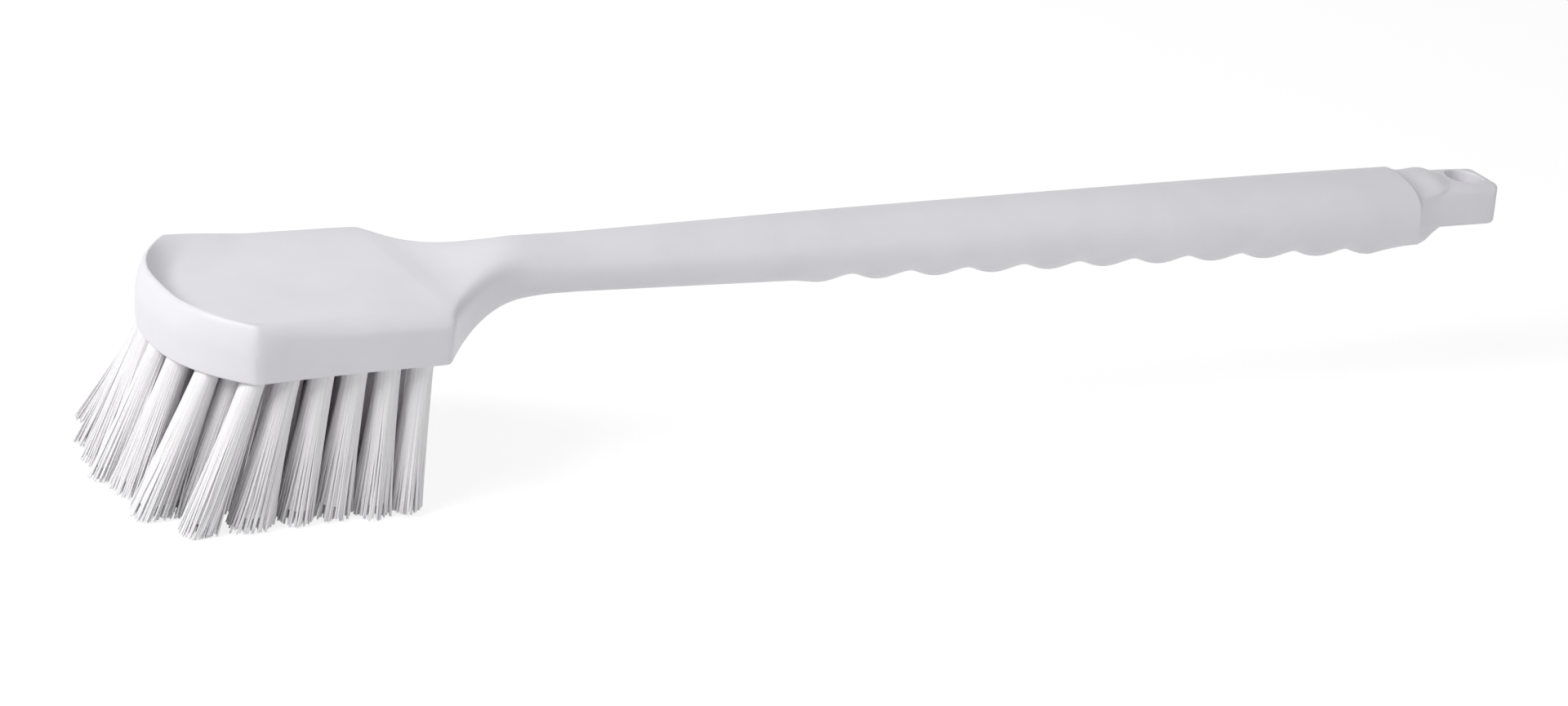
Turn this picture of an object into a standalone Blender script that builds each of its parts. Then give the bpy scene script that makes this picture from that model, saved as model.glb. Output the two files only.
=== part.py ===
"""Pot brush: one moulding (head, neck, scalloped grip, hanging tab) set with tufts of bristle.

Units are metres and Z is up. The brush stands on its bristle tips at Z = 0. X runs from the
head's nose to the hanging tab, and the brush is the same on both sides of the XZ plane.
"""
import math

import bmesh
import bpy
from mathutils import Matrix, Vector

MM = 0.001

# The moulding as a whole, measured from the nose
BRUSH_LENGTH = 505.5 * MM
FIT_CLEARANCE = 0.3 * MM
CUT_OVERRUN = 3.0 * MM
SEAM_LAP = 0.05 * MM
WELD_DISTANCE = 0.01 * MM
FLAT_ANGLE = 0.1
CREASE_ANGLE = 25.0

# Head: a flat block with a bowed nose and a dished top
HEAD_WIDTH = 76.2 * MM
HEAD_LENGTH = 82.2 * MM
HEAD_THICKNESS = 16.0 * MM
NOSE_BOW = 18.4 * MM
NOSE_CURVE_POWER = 2.4
NOSE_STEPS = 22
TOP_EDGE_RADIUS = 4.5 * MM
TOP_EDGE_STEPS = 3
BOTTOM_EDGE_RADIUS = 0.8 * MM
BLOCK_END_SHARE = 0.17
RIM_WIDTH = 5.2 * MM
DISH_DEPTH = 5.5 * MM
DISH_WALL_RUN = 12.0 * MM
DISH_STEPS_ACROSS = 8
DISH_STEPS_ALONG = 4
DISH_WALL_STEPS = 5

# Neck: the plan sweeps in, the top ramps up and the underside lifts
SHOULDER_ROUND = 3.0 * MM
SWEEP_LENGTH = 33.0 * MM
RAMP_LENGTH = 36.0 * MM
UNDERSIDE_RISE_LENGTH = 50.0 * MM
ROUNDING_LENGTH = 60.0 * MM
LAP_SHARE = 0.33

# Handle: round in section, slowly swelling towards the end
NECK_RADIUS = 9.8 * MM
GRIP_RADIUS = 11.6 * MM
BARREL_RADIUS = 14.9 * MM
NECK_AXIS_HEIGHT = 13.85 * MM
BARREL_AXIS_HEIGHT = 12.6 * MM
END_SHOULDER_LENGTH = 7.2 * MM
END_LEAN_SHARE = 0.18
# A round section keeps a little flat on each side, so that its points stay apart
ROUND_CORNER_SHARE = 0.96
CORNER_STEPS = 4

# Finger scallops on the underside of the grip
SCALLOP_PITCH = 22.2 * MM
SCALLOP_COUNT = 10
SCALLOP_DEPTH = 2.5 * MM
SCALLOP_STEPS = 4
NECK_LIFT = 0.95 * MM
END_LAND = 12.6 * MM
END_LAND_RISE = 2.8 * MM

# Hanging tab and its hole
TAB_LENGTH = 33.5 * MM
TAB_WIDTH = 20.0 * MM
TAB_THICKNESS = 15.0 * MM
TAB_AXIS_HEIGHT = 15.4 * MM
TAB_END_RADIUS = 8.5 * MM
TAB_END_STEPS = 5
TAB_TOP_EDGE_RADIUS = 3.0 * MM
TAB_BOTTOM_EDGE_RADIUS = 1.0 * MM
TAB_EDGE_STEPS = 2
TAB_FILLET_LENGTH = 3.5 * MM
TAB_FILLET_HEIGHT = 1.5 * MM
TAB_FILLET_STEPS = 3
HANGING_HOLE_DIAMETER = 13.2 * MM
HANGING_HOLE_TO_END = 12.7 * MM
HANGING_HOLE_SIDES = 32

# Tufts: bundles of filament in blind holes, each held by a flat wire anchor
TRIM_LENGTH = 46.5 * MM
TUFT_HOLE_DIAMETER = 5.2 * MM
TUFT_HOLE_DEPTH = 8.5 * MM
TUFT_SIDE_INSET = 5.6 * MM
TUFT_NOSE_INSET = 6.5 * MM
TUFT_REAR_INSET = 5.8 * MM
TUFTS_IN_ROWS = (6, 8, 7, 8, 7, 8, 6)
FRONT_LEAN = 17.5 * MM
REAR_LEAN = 3.0 * MM
LEAN_POWER = 1.3
SIDE_LEAN = 8.5 * MM
SIDE_LEAN_REAR_SHARE = 0.5
BUNDLE_STANDOUT = 2.0 * MM
STRANDS_IN_TUFT = 8
STRAND_GAP = 0.25 * MM
STRAND_SWELL_SHARE = 1.15
STRAND_SPREAD_SHARES = (1.5, 2.9)

# Anchors: short pieces of flat wire driven in across the fold of each bundle
ANCHOR_LENGTH = 6.6 * MM
ANCHOR_THICKNESS = 0.45 * MM
ANCHOR_WIDTH = 2.0 * MM
ANCHOR_SEAT = 0.4 * MM

# Values worked out from the sizes above
HALF_WIDTH = HEAD_WIDTH / 2
UNDERSIDE = TRIM_LENGTH
HEAD_TOP = UNDERSIDE + HEAD_THICKNESS
SHOULDER_X = BRUSH_LENGTH - TAB_LENGTH
RING_X = SHOULDER_X - END_SHOULDER_LENGTH
LAST_CREST_X = RING_X - END_LAND
FIRST_CREST_X = LAST_CREST_X - SCALLOP_COUNT * SCALLOP_PITCH
FIRST_RISE_X = FIRST_CREST_X - SCALLOP_PITCH / 2
SWEEP_END_X = HEAD_LENGTH + SWEEP_LENGTH
NECK_X = HEAD_LENGTH + ROUNDING_LENGTH
BUNDLE_RADIUS = TUFT_HOLE_DIAMETER / 2 - FIT_CLEARANCE

MOULDING_COLOUR = (0.80, 0.80, 0.83, 1.0)
BRISTLE_COLOUR = (0.86, 0.86, 0.87, 1.0)


def clear_scene():
    """Remove the objects of the start-up scene."""
    for item in list(bpy.data.objects):
        bpy.data.objects.remove(item, do_unlink=True)


def make_collection(name):
    """Return a new collection linked to the scene."""
    group = bpy.data.collections.new(name)
    bpy.context.scene.collection.children.link(group)
    return group


def make_material(name, colour, roughness):
    """Return a plain plastic material."""
    material = bpy.data.materials.new(name)
    material.use_nodes = True
    shader = material.node_tree.nodes["Principled BSDF"]
    shader.inputs["Base Color"].default_value = colour
    shader.inputs["Roughness"].default_value = roughness
    shader.inputs["Metallic"].default_value = 0.0
    return material


def object_from_bmesh(name, bm, group):
    """Turn a bmesh into an object in the given collection."""
    bmesh.ops.recalc_face_normals(bm, faces=bm.faces)
    mesh = bpy.data.meshes.new(name)
    bm.to_mesh(mesh)
    bm.free()
    item = bpy.data.objects.new(name, mesh)
    group.objects.link(item)
    return item


def as_cutter(item):
    """Show a helper solid as wire only and leave it out of renders."""
    item.display_type = "WIRE"
    item.hide_render = True


def add_boolean(item, tool, operation):
    """Join a helper solid to an object, or cut it away."""
    modifier = item.modifiers.new(tool.name, "BOOLEAN")
    modifier.operation = operation
    modifier.solver = "EXACT"
    modifier.object = tool


def flat_solid(name, outline, thickness, group):
    """Extrude a closed outline in the XY plane to a solid centred on Z = 0."""
    curve = bpy.data.curves.new(name, "CURVE")
    curve.dimensions = "2D"
    curve.fill_mode = "BOTH"
    curve.extrude = thickness / 2
    spline = curve.splines.new("POLY")
    spline.points.add(len(outline) - 1)
    for point, (x, y) in zip(spline.points, outline):
        point.co = (x, y, 0.0, 1.0)
    spline.use_cyclic_u = True
    guide = bpy.data.objects.new(name, curve)
    group.objects.link(guide)
    evaluated = guide.evaluated_get(bpy.context.evaluated_depsgraph_get())
    mesh = bpy.data.meshes.new_from_object(evaluated)
    bpy.data.objects.remove(guide, do_unlink=True)
    bm = bmesh.new()
    bm.from_mesh(mesh)
    bpy.data.meshes.remove(mesh)
    bmesh.ops.remove_doubles(bm, verts=bm.verts, dist=WELD_DISTANCE)
    bmesh.ops.dissolve_limit(bm, angle_limit=math.radians(FLAT_ANGLE), verts=bm.verts, edges=bm.edges)
    return bm


def round_rim(bm, height, radius, steps):
    """Round the outline's edge at one height of a flat solid."""
    edges = [
        edge for edge in bm.edges
        if all(abs(vert.co.z - height) < WELD_DISTANCE for vert in edge.verts)
    ]
    bmesh.ops.bevel(
        bm, geom=edges, offset=radius, offset_type="OFFSET",
        segments=steps, profile=0.5, affect="EDGES", clamp_overlap=False,
    )


def ease(share):
    """Go smoothly from 0 to 1 while the share does."""
    share = min(max(share, 0.0), 1.0)
    return share * share * (3 - 2 * share)


def between(start, end, share):
    """Return the value at a share of the way between two values."""
    return start + (end - start) * share


def nose_x(y):
    """Return where the head's bowed nose is at a distance from the middle."""
    return NOSE_BOW * (abs(y) / HALF_WIDTH) ** NOSE_CURVE_POWER


def head_outline(rear_x):
    """Return the plan of the head from its nose to a straight rear end."""
    across = [HALF_WIDTH * (1 - 2 * step / NOSE_STEPS) for step in range(NOSE_STEPS + 1)]
    nose = [(nose_x(y), y) for y in across]
    return nose + [(rear_x, -HALF_WIDTH), (rear_x, HALF_WIDTH)]


def plan_half_width(x):
    """Return the half width of the head's rear and the neck, with rounded shoulders."""
    share = min((x - HEAD_LENGTH) / SWEEP_LENGTH, 1.0)
    sweep = between(NECK_RADIUS, HALF_WIDTH, (1 - share) ** 2)
    gap = HALF_WIDTH - sweep
    return (HALF_WIDTH + sweep - math.hypot(gap, SHOULDER_ROUND)) / 2


def handle_radius(x):
    """Return the radius of the round handle, which swells towards the end."""
    if x < FIRST_CREST_X:
        share = (x - NECK_X) / (FIRST_CREST_X - NECK_X)
        return between(NECK_RADIUS, GRIP_RADIUS, max(share, 0.0))
    share = (x - FIRST_CREST_X) / (LAST_CREST_X - FIRST_CREST_X)
    return between(GRIP_RADIUS, BARREL_RADIUS, min(share, 1.0))


def handle_axis_z(x):
    """Return the height of the handle's axis above the bristle tips."""
    share = min(max((x - NECK_X) / (LAST_CREST_X - NECK_X), 0.0), 1.0)
    return UNDERSIDE + between(NECK_AXIS_HEIGHT, BARREL_AXIS_HEIGHT, share ** 2)


def scallop_lift(x):
    """Return how far the underside lies above a full round, in the neck and in the scallops."""
    if x < FIRST_CREST_X:
        return NECK_LIFT * (1 - ease((x - FIRST_RISE_X) / (FIRST_CREST_X - FIRST_RISE_X)))
    if x > LAST_CREST_X:
        share = (x - LAST_CREST_X) / END_LAND
        return END_LAND_RISE * share * (2 - share)
    turn = 2 * math.pi * (x - FIRST_CREST_X) / SCALLOP_PITCH
    return SCALLOP_DEPTH * (1 - math.cos(turn)) / 2


def box_ring(half_width, low, high, low_radius, high_radius, steps):
    """Return the points of a box section with rounded corners, as (y, z) pairs."""
    corners = (
        (1, low + low_radius, low_radius, -90),
        (1, high - high_radius, high_radius, 0),
        (-1, high - high_radius, high_radius, 90),
        (-1, low + low_radius, low_radius, 180),
    )
    points = []
    for side, centre_z, radius, start in corners:
        centre_y = side * (half_width - radius)
        for step in range(steps + 1):
            angle = math.radians(start + 90 * step / steps)
            points.append((centre_y + radius * math.cos(angle), centre_z + radius * math.sin(angle)))
    return points


def end_lean(x):
    """Return how much a section leans, its underside forwards, near the end of the barrel."""
    return END_LEAN_SHARE * max(x - LAST_CREST_X, 0.0) / END_LAND


def neck_ring(x):
    """Return one section of the head's rear, the neck or the handle, as points in space."""
    ramp = ease((x - HEAD_LENGTH - TOP_EDGE_RADIUS) / RAMP_LENGTH)
    rise = ease((x - HEAD_LENGTH) / UNDERSIDE_RISE_LENGTH)
    roundness = ease((x - HEAD_LENGTH) / ROUNDING_LENGTH)
    radius = handle_radius(x)
    axis_z = handle_axis_z(x)
    high = between(HEAD_TOP, axis_z + radius, ramp) + SEAM_LAP * (1 - ramp)
    low = between(UNDERSIDE, axis_z - radius, rise) - SEAM_LAP * (1 - rise)
    half_width = radius if x > SWEEP_END_X else plan_half_width(x)
    half_width += SEAM_LAP * (1 - ramp)
    full_round = ROUND_CORNER_SHARE * radius
    top_radius = between(TOP_EDGE_RADIUS, full_round, roundness)
    bottom_radius = between(BOTTOM_EDGE_RADIUS, full_round, roundness)
    points = box_ring(half_width, low, high, bottom_radius, top_radius, CORNER_STEPS)
    squash = 1 - rise * scallop_lift(x) / radius
    ring = [(y, z if z > axis_z else axis_z + (z - axis_z) * squash) for y, z in points]
    return [(x + end_lean(x) * (axis_z - z), y, z) for y, z in ring]


def tab_ring(x, grown):
    """Return one section of the hanging tab, grown outwards by a distance, as points in space."""
    middle = UNDERSIDE + TAB_AXIS_HEIGHT
    reach = TAB_THICKNESS / 2 + grown
    low_radius = TAB_BOTTOM_EDGE_RADIUS + max(grown, 0.0)
    high_radius = TAB_TOP_EDGE_RADIUS + max(grown, 0.0)
    half_width = TAB_WIDTH / 2 + grown
    ring = box_ring(half_width, middle - reach, middle + reach, low_radius, high_radius, CORNER_STEPS)
    return [(x, y, z) for y, z in ring]


def handle_stations():
    """Return the distances from the nose at which the handle's sections lie."""
    stations = [HEAD_LENGTH - SWEEP_LENGTH * LAP_SHARE]
    sweep_shares = (-0.12, 0.0, 0.05, 0.12, 0.2, 0.3, 0.4, 0.5, 0.6, 0.7, 0.8, 0.9, 1.0)
    stations += [HEAD_LENGTH + SWEEP_LENGTH * share for share in sweep_shares]
    plain_shares = (0.09, 0.19, 0.31, 0.5, 0.75, 1.0)
    stations += [between(SWEEP_END_X, FIRST_RISE_X, share) for share in plain_shares]
    rise_shares = (0.5, 1.0)
    stations += [between(FIRST_RISE_X, FIRST_CREST_X, share) for share in rise_shares]
    step = SCALLOP_PITCH / SCALLOP_STEPS
    stations += [FIRST_CREST_X + step * (i + 1) for i in range(SCALLOP_COUNT * SCALLOP_STEPS)]
    land_shares = (0.25, 0.6, 1.0)
    stations += [between(LAST_CREST_X, RING_X, share) for share in land_shares]
    return stations


def loft(name, sections, group):
    """Skin a row of rings, each with the same number of points, and close both ends."""
    bm = bmesh.new()
    rings = [[bm.verts.new(point) for point in ring] for ring in sections]
    for ring, following in zip(rings, rings[1:]):
        for i in range(len(ring)):
            j = (i + 1) % len(ring)
            bm.faces.new((ring[i], ring[j], following[j], following[i]))
    bm.faces.new(rings[0])
    bm.faces.new(rings[-1])
    return object_from_bmesh(name, bm, group)


def make_handle(cutters):
    """Make the neck, the scalloped grip and the root of the tab as one lofted solid."""
    sections = [neck_ring(x) for x in handle_stations()]
    for step in range(TAB_FILLET_STEPS + 1):
        angle = math.radians(90 * step / TAB_FILLET_STEPS)
        run = TAB_FILLET_LENGTH * (1 - math.cos(angle))
        sections.append(tab_ring(SHOULDER_X + run, TAB_FILLET_HEIGHT * (1 - math.sin(angle))))
    sections.append(tab_ring(SHOULDER_X + TAB_LENGTH * LAP_SHARE, -SEAM_LAP))
    handle = loft("handle_form", sections, cutters)
    as_cutter(handle)
    return handle


def make_tab(cutters):
    """Make the hanging tab, a flat tongue with a rounded end."""
    start_x = SHOULDER_X + TAB_FILLET_LENGTH + TAB_BOTTOM_EDGE_RADIUS
    half = TAB_WIDTH / 2
    outline = [(start_x, -half)]
    for side in (-1, 1):
        for step in range(TAB_END_STEPS + 1):
            angle = math.radians(90 * step / TAB_END_STEPS)
            if side > 0:
                angle = math.radians(90) - angle
            x = BRUSH_LENGTH - TAB_END_RADIUS * (1 - math.sin(angle))
            y = side * (half - TAB_END_RADIUS * (1 - math.cos(angle)))
            outline.append((x, y))
    outline.append((start_x, half))
    bm = flat_solid("tab_form", outline, TAB_THICKNESS, cutters)
    round_rim(bm, TAB_THICKNESS / 2, TAB_TOP_EDGE_RADIUS, TAB_EDGE_STEPS)
    round_rim(bm, -TAB_THICKNESS / 2, TAB_BOTTOM_EDGE_RADIUS, TAB_EDGE_STEPS)
    tab = object_from_bmesh("tab_form", bm, cutters)
    tab.location.z = UNDERSIDE + TAB_AXIS_HEIGHT
    as_cutter(tab)
    return tab


def make_hanging_hole(cutters):
    """Make the cutter for the hole that the brush hangs by."""
    bm = bmesh.new()
    bmesh.ops.create_cone(
        bm, cap_ends=True, segments=HANGING_HOLE_SIDES, radius1=HANGING_HOLE_DIAMETER / 2,
        radius2=HANGING_HOLE_DIAMETER / 2, depth=TAB_THICKNESS + 2 * CUT_OVERRUN,
    )
    hole = object_from_bmesh("hanging_hole_cut", bm, cutters)
    hole.location = (BRUSH_LENGTH - HANGING_HOLE_TO_END, 0.0, UNDERSIDE + TAB_AXIS_HEIGHT)
    as_cutter(hole)
    return hole


def dish_z(x, y, behind_rim):
    """Return the height of the dished top at a place and its distance behind the rim."""
    across = abs(y) / (HALF_WIDTH - RIM_WIDTH)
    along = x / HEAD_LENGTH
    floor = HEAD_TOP - DISH_DEPTH * (1 - across ** 2) * (1 - along)
    if behind_rim < DISH_WALL_RUN:
        wall = (1 - behind_rim / DISH_WALL_RUN) ** 2
        floor += (HEAD_TOP - floor) * wall
    return floor


def make_dish(cutters):
    """Make the cutter for the head's dished top, which follows the nose behind a narrow rim."""
    reach = HALF_WIDTH - RIM_WIDTH / 2
    wall_runs = [DISH_WALL_RUN * i / DISH_WALL_STEPS for i in range(DISH_WALL_STEPS)]
    end_x = HEAD_LENGTH + TOP_EDGE_RADIUS
    bm = bmesh.new()
    columns = []
    for i in range(2 * DISH_STEPS_ACROSS + 1):
        y = reach * (i / DISH_STEPS_ACROSS - 1)
        rim_x = nose_x(y) + RIM_WIDTH
        runs = list(wall_runs)
        for k in range(DISH_STEPS_ALONG + 1):
            runs.append(between(DISH_WALL_RUN, end_x - rim_x, k / DISH_STEPS_ALONG))
        columns.append([bm.verts.new((rim_x + run, y, dish_z(rim_x + run, y, run))) for run in runs])
    for column, following in zip(columns, columns[1:]):
        for k in range(len(column) - 1):
            bm.faces.new((column[k], column[k + 1], following[k + 1], following[k]))
    lifted = bmesh.ops.extrude_face_region(bm, geom=list(bm.faces))
    for item in lifted["geom"]:
        if isinstance(item, bmesh.types.BMVert):
            item.co.z = HEAD_TOP + CUT_OVERRUN
    dish = object_from_bmesh("dish_cut", bm, cutters)
    as_cutter(dish)
    return dish


def tuft_places():
    """Return each tuft's name, its root on the underside and how far its tips lean."""
    side = HALF_WIDTH - TUFT_SIDE_INSET
    rear_x = HEAD_LENGTH - TUFT_REAR_INSET
    last_row = len(TUFTS_IN_ROWS) - 1
    front_x = nose_x(0.0) + TUFT_NOSE_INSET
    places = []
    for row, count in enumerate(TUFTS_IN_ROWS):
        y = side * (2 * row / last_row - 1)
        slope = NOSE_CURVE_POWER * nose_x(y) / max(abs(y), TUFT_SIDE_INSET)
        first_x = nose_x(y) + TUFT_NOSE_INSET * math.hypot(1.0, slope)
        for i in range(count):
            x = between(first_x, rear_x, i / (count - 1))
            ahead = (rear_x - x) / (rear_x - front_x)
            lean_x = -between(REAR_LEAN, FRONT_LEAN, max(ahead, 0.0) ** LEAN_POWER)
            lean_y = SIDE_LEAN * (y / side) * abs(y / side)
            lean_y *= between(SIDE_LEAN_REAR_SHARE, 1.0, ahead)
            name = "tuft_%02d" % (len(places) + 1)
            places.append((name, Vector((x, y, UNDERSIDE)), Vector((lean_x, lean_y, 0.0))))
    return places


def tuft_frame(root, lean):
    """Return the matrix that stands a tuft on its root, with Z along its own lean."""
    along = (lean - Vector((0.0, 0.0, TRIM_LENGTH))).normalized()
    across = along.cross(Vector((1.0, 0.0, 0.0))).normalized()
    forward = across.cross(along)
    turn = Matrix((forward, across, along)).transposed()
    return Matrix.Translation(root) @ turn.to_4x4()


def bundle_bmesh(radius, start, end):
    """Make the round root of a tuft, or its hole, between two distances along its axis."""
    bm = bmesh.new()
    half_side = Matrix.Rotation(math.pi / STRANDS_IN_TUFT, 4, "Z")
    bmesh.ops.create_cone(
        bm, cap_ends=True, cap_tris=True, segments=STRANDS_IN_TUFT,
        radius1=radius, radius2=radius, depth=end - start,
        matrix=Matrix.Translation((0.0, 0.0, (start + end) / 2)) @ half_side,
    )
    return bm


def anchor_bmesh(grown):
    """Make the flat wire anchor of a tuft, or its pocket when grown by a clearance."""
    deep_end = -TUFT_HOLE_DEPTH + FIT_CLEARANCE + ANCHOR_SEAT
    size = Vector((ANCHOR_LENGTH, ANCHOR_THICKNESS, ANCHOR_WIDTH)) + Vector((1, 1, 1)) * 2 * grown
    bm = bmesh.new()
    bmesh.ops.create_cube(
        bm, size=1.0,
        matrix=Matrix.Translation((0.0, 0.0, deep_end + ANCHOR_WIDTH / 2)) @ Matrix.Diagonal(size.to_4d()),
    )
    return bm


def make_root_mesh(cutters):
    """Make the mesh of a bundle's root with its anchor, shared by all tufts as a start."""
    start = -TUFT_HOLE_DEPTH + FIT_CLEARANCE
    bundle = object_from_bmesh("bundle_form", bundle_bmesh(BUNDLE_RADIUS, start, BUNDLE_STANDOUT), cutters)
    anchor = object_from_bmesh("anchor_form", anchor_bmesh(0.0), cutters)
    add_boolean(bundle, anchor, "UNION")
    evaluated = bundle.evaluated_get(bpy.context.evaluated_depsgraph_get())
    mesh = bpy.data.meshes.new_from_object(evaluated)
    bpy.data.objects.remove(bundle, do_unlink=True)
    bpy.data.objects.remove(anchor, do_unlink=True)
    return mesh


def make_tuft(name, root, lean, root_mesh, material, group):
    """Make one tuft: its root in the hole, its anchor and its strands down to the flat trim."""
    bm = bmesh.new()
    bm.from_mesh(root_mesh)
    cap = [face for face in bm.faces if face.calc_center_median().z > BUNDLE_STANDOUT - STRAND_GAP]
    cap.sort(key=lambda face: math.atan2(*face.calc_center_median().yx))
    bmesh.ops.inset_individual(bm, faces=cap, thickness=STRAND_GAP)
    tips = bmesh.ops.extrude_discrete_faces(bm, faces=cap)["faces"]
    tip_middle = root + lean
    ends = {}
    for i, face in enumerate(tips):
        centre = face.calc_center_median().xy
        spread = STRAND_SPREAD_SHARES[i % len(STRAND_SPREAD_SHARES)]
        for vert in face.verts:
            offset = centre * spread + (vert.co.xy - centre) * STRAND_SWELL_SHARE
            ends[vert] = Vector((tip_middle.x + offset.x, tip_middle.y - offset.y, 0.0))
    bmesh.ops.transform(bm, matrix=tuft_frame(root, lean), verts=bm.verts)
    for vert, place in ends.items():
        vert.co = place
    tuft = object_from_bmesh(name, bm, group)
    tuft.data.materials.append(material)
    return tuft


def hole_bmesh():
    """Make one blind hole for a tuft, open at the underside."""
    return bundle_bmesh(TUFT_HOLE_DIAMETER / 2, -TUFT_HOLE_DEPTH, CUT_OVERRUN)


def pocket_bmesh():
    """Make the pocket that one anchor bites into."""
    return anchor_bmesh(FIT_CLEARANCE)


def make_repeated_cutter(name, make_single, places, cutters):
    """Make one cutter out of a shape repeated at every tuft."""
    joined = bmesh.new()
    for place_name, root, lean in places:
        single = make_single()
        bmesh.ops.transform(single, matrix=tuft_frame(root, lean), verts=single.verts)
        mesh = bpy.data.meshes.new(place_name)
        single.to_mesh(mesh)
        single.free()
        joined.from_mesh(mesh)
        bpy.data.meshes.remove(mesh)
    tool = object_from_bmesh(name, joined, cutters)
    as_cutter(tool)
    return tool


def make_handle_block(places, material, group, cutters):
    """Make the moulding: head, neck, grip and tab in one piece, with its holes cut."""
    rear_x = HEAD_LENGTH - SWEEP_LENGTH * BLOCK_END_SHARE
    bm = flat_solid("handle_block", head_outline(rear_x), HEAD_THICKNESS, cutters)
    round_rim(bm, HEAD_THICKNESS / 2, TOP_EDGE_RADIUS, TOP_EDGE_STEPS)
    round_rim(bm, -HEAD_THICKNESS / 2, BOTTOM_EDGE_RADIUS, 1)
    bmesh.ops.translate(bm, verts=bm.verts, vec=(0.0, 0.0, UNDERSIDE + HEAD_THICKNESS / 2))
    block = object_from_bmesh("handle_block", bm, group)
    block.data.materials.append(material)
    add_boolean(block, make_handle(cutters), "UNION")
    add_boolean(block, make_tab(cutters), "UNION")
    add_boolean(block, make_dish(cutters), "DIFFERENCE")
    add_boolean(block, make_hanging_hole(cutters), "DIFFERENCE")
    holes = make_repeated_cutter("tuft_holes_cut", hole_bmesh, places, cutters)
    add_boolean(block, holes, "DIFFERENCE")
    pockets = make_repeated_cutter("anchor_pockets_cut", pocket_bmesh, places, cutters)
    add_boolean(block, pockets, "DIFFERENCE")
    return block


def centre_on_base(parts, helpers):
    """Move everything so that the origin is under the middle of the brush."""
    bpy.context.view_layer.update()
    graph = bpy.context.evaluated_depsgraph_get()
    corners = []
    for part in parts:
        evaluated = part.evaluated_get(graph)
        corners += [part.matrix_world @ Vector(corner) for corner in evaluated.bound_box]
    middle_x = (min(c.x for c in corners) + max(c.x for c in corners)) / 2
    middle_y = (min(c.y for c in corners) + max(c.y for c in corners)) / 2
    frame = bpy.data.objects.new("brush_frame", None)
    bpy.context.scene.collection.objects.link(frame)
    frame.location = (-middle_x, -middle_y, 0.0)
    for item in parts + helpers:
        item.parent = frame


def main():
    """Build the whole brush."""
    clear_scene()
    group = make_collection("pot_brush")
    cutters = make_collection("pot_brush_cutters")
    moulding = make_material("white_polypropylene", MOULDING_COLOUR, 0.42)
    bristle = make_material("white_polyester", BRISTLE_COLOUR, 0.5)
    places = tuft_places()
    block = make_handle_block(places, moulding, group, cutters)
    root_mesh = make_root_mesh(cutters)
    tufts = [make_tuft(name, root, lean, root_mesh, bristle, group) for name, root, lean in places]
    bpy.data.meshes.remove(root_mesh)
    block.data.shade_smooth()
    block.data.set_sharp_from_angle(angle=math.radians(CREASE_ANGLE))
    centre_on_base([block] + tufts, list(cutters.objects))


main()
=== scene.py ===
"""Pot brush: the looks of the moulding and its bristles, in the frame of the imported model.

Lengths are metres. X runs from the nose of the head to the hanging tab, Z is up and the brush
stands on its bristle tips.
"""
import logging
import math
import random
from dataclasses import dataclass, field
from enum import Enum
from typing import Any, Mapping, Sequence, Union

import bpy
import numpy as np
from mathutils import Matrix, Vector

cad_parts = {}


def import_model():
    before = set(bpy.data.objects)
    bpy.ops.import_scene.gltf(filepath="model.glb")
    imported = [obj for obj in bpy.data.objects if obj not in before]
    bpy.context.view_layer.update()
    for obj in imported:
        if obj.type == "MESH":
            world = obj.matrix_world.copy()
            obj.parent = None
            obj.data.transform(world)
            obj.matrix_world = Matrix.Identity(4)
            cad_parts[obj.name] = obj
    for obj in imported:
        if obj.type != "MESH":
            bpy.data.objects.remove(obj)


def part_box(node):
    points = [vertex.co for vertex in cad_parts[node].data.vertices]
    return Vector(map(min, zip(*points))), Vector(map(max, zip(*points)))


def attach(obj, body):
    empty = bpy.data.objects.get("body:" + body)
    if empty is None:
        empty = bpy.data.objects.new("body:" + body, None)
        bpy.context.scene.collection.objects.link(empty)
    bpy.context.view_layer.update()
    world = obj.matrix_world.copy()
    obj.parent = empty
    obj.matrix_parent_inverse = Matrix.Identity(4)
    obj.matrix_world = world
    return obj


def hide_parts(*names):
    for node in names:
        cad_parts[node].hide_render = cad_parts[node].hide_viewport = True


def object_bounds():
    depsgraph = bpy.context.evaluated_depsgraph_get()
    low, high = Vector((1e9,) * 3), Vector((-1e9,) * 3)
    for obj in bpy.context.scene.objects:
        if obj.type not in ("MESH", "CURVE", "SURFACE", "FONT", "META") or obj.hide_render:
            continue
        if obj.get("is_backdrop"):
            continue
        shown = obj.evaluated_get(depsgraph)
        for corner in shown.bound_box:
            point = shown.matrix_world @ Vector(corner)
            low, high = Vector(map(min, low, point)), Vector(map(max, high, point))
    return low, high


log = logging.getLogger("pot_brush")

MM = 0.001
WELD = 0.001 * MM
STRAND = "strand"
WHITE = (1.0, 1.0, 1.0, 1.0)
Point = tuple[float, float, float]
Ring = list[Point]
Colour = tuple[float, float, float]
SocketValue = Union["Signal", float, Sequence[float]]


class Slot(Enum):
    """The material slots that the record gives to the brush."""

    MOULDING = "white_polypropylene"
    BRISTLE = "white_polyester"


def ease(share: float) -> float:
    """Go smoothly from 0 to 1 while the share does."""
    share = min(max(share, 0.0), 1.0)
    return share * share * (3 - 2 * share)


def between(start: float, end: float, share: float) -> float:
    """Return the value at a share of the way between two values."""
    return start + (end - start) * share


def steps(start: float, end: float, count: int) -> list[float]:
    """Return evenly spaced values after a start, up to and with the end."""
    return [between(start, end, (i + 1) / count) for i in range(count)]


def share_of(place: float, start: float, end: float) -> float:
    """Return how far a place lies on the way between two others, from 0 to 1."""
    return min(max((place - start) / (end - start), 0.0), 1.0)


def edge_turn(share: float) -> float:
    """Return how far from the crest to the wall a round edge is at a share of its turn."""
    return math.sin(math.pi / 2 * share)


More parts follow.
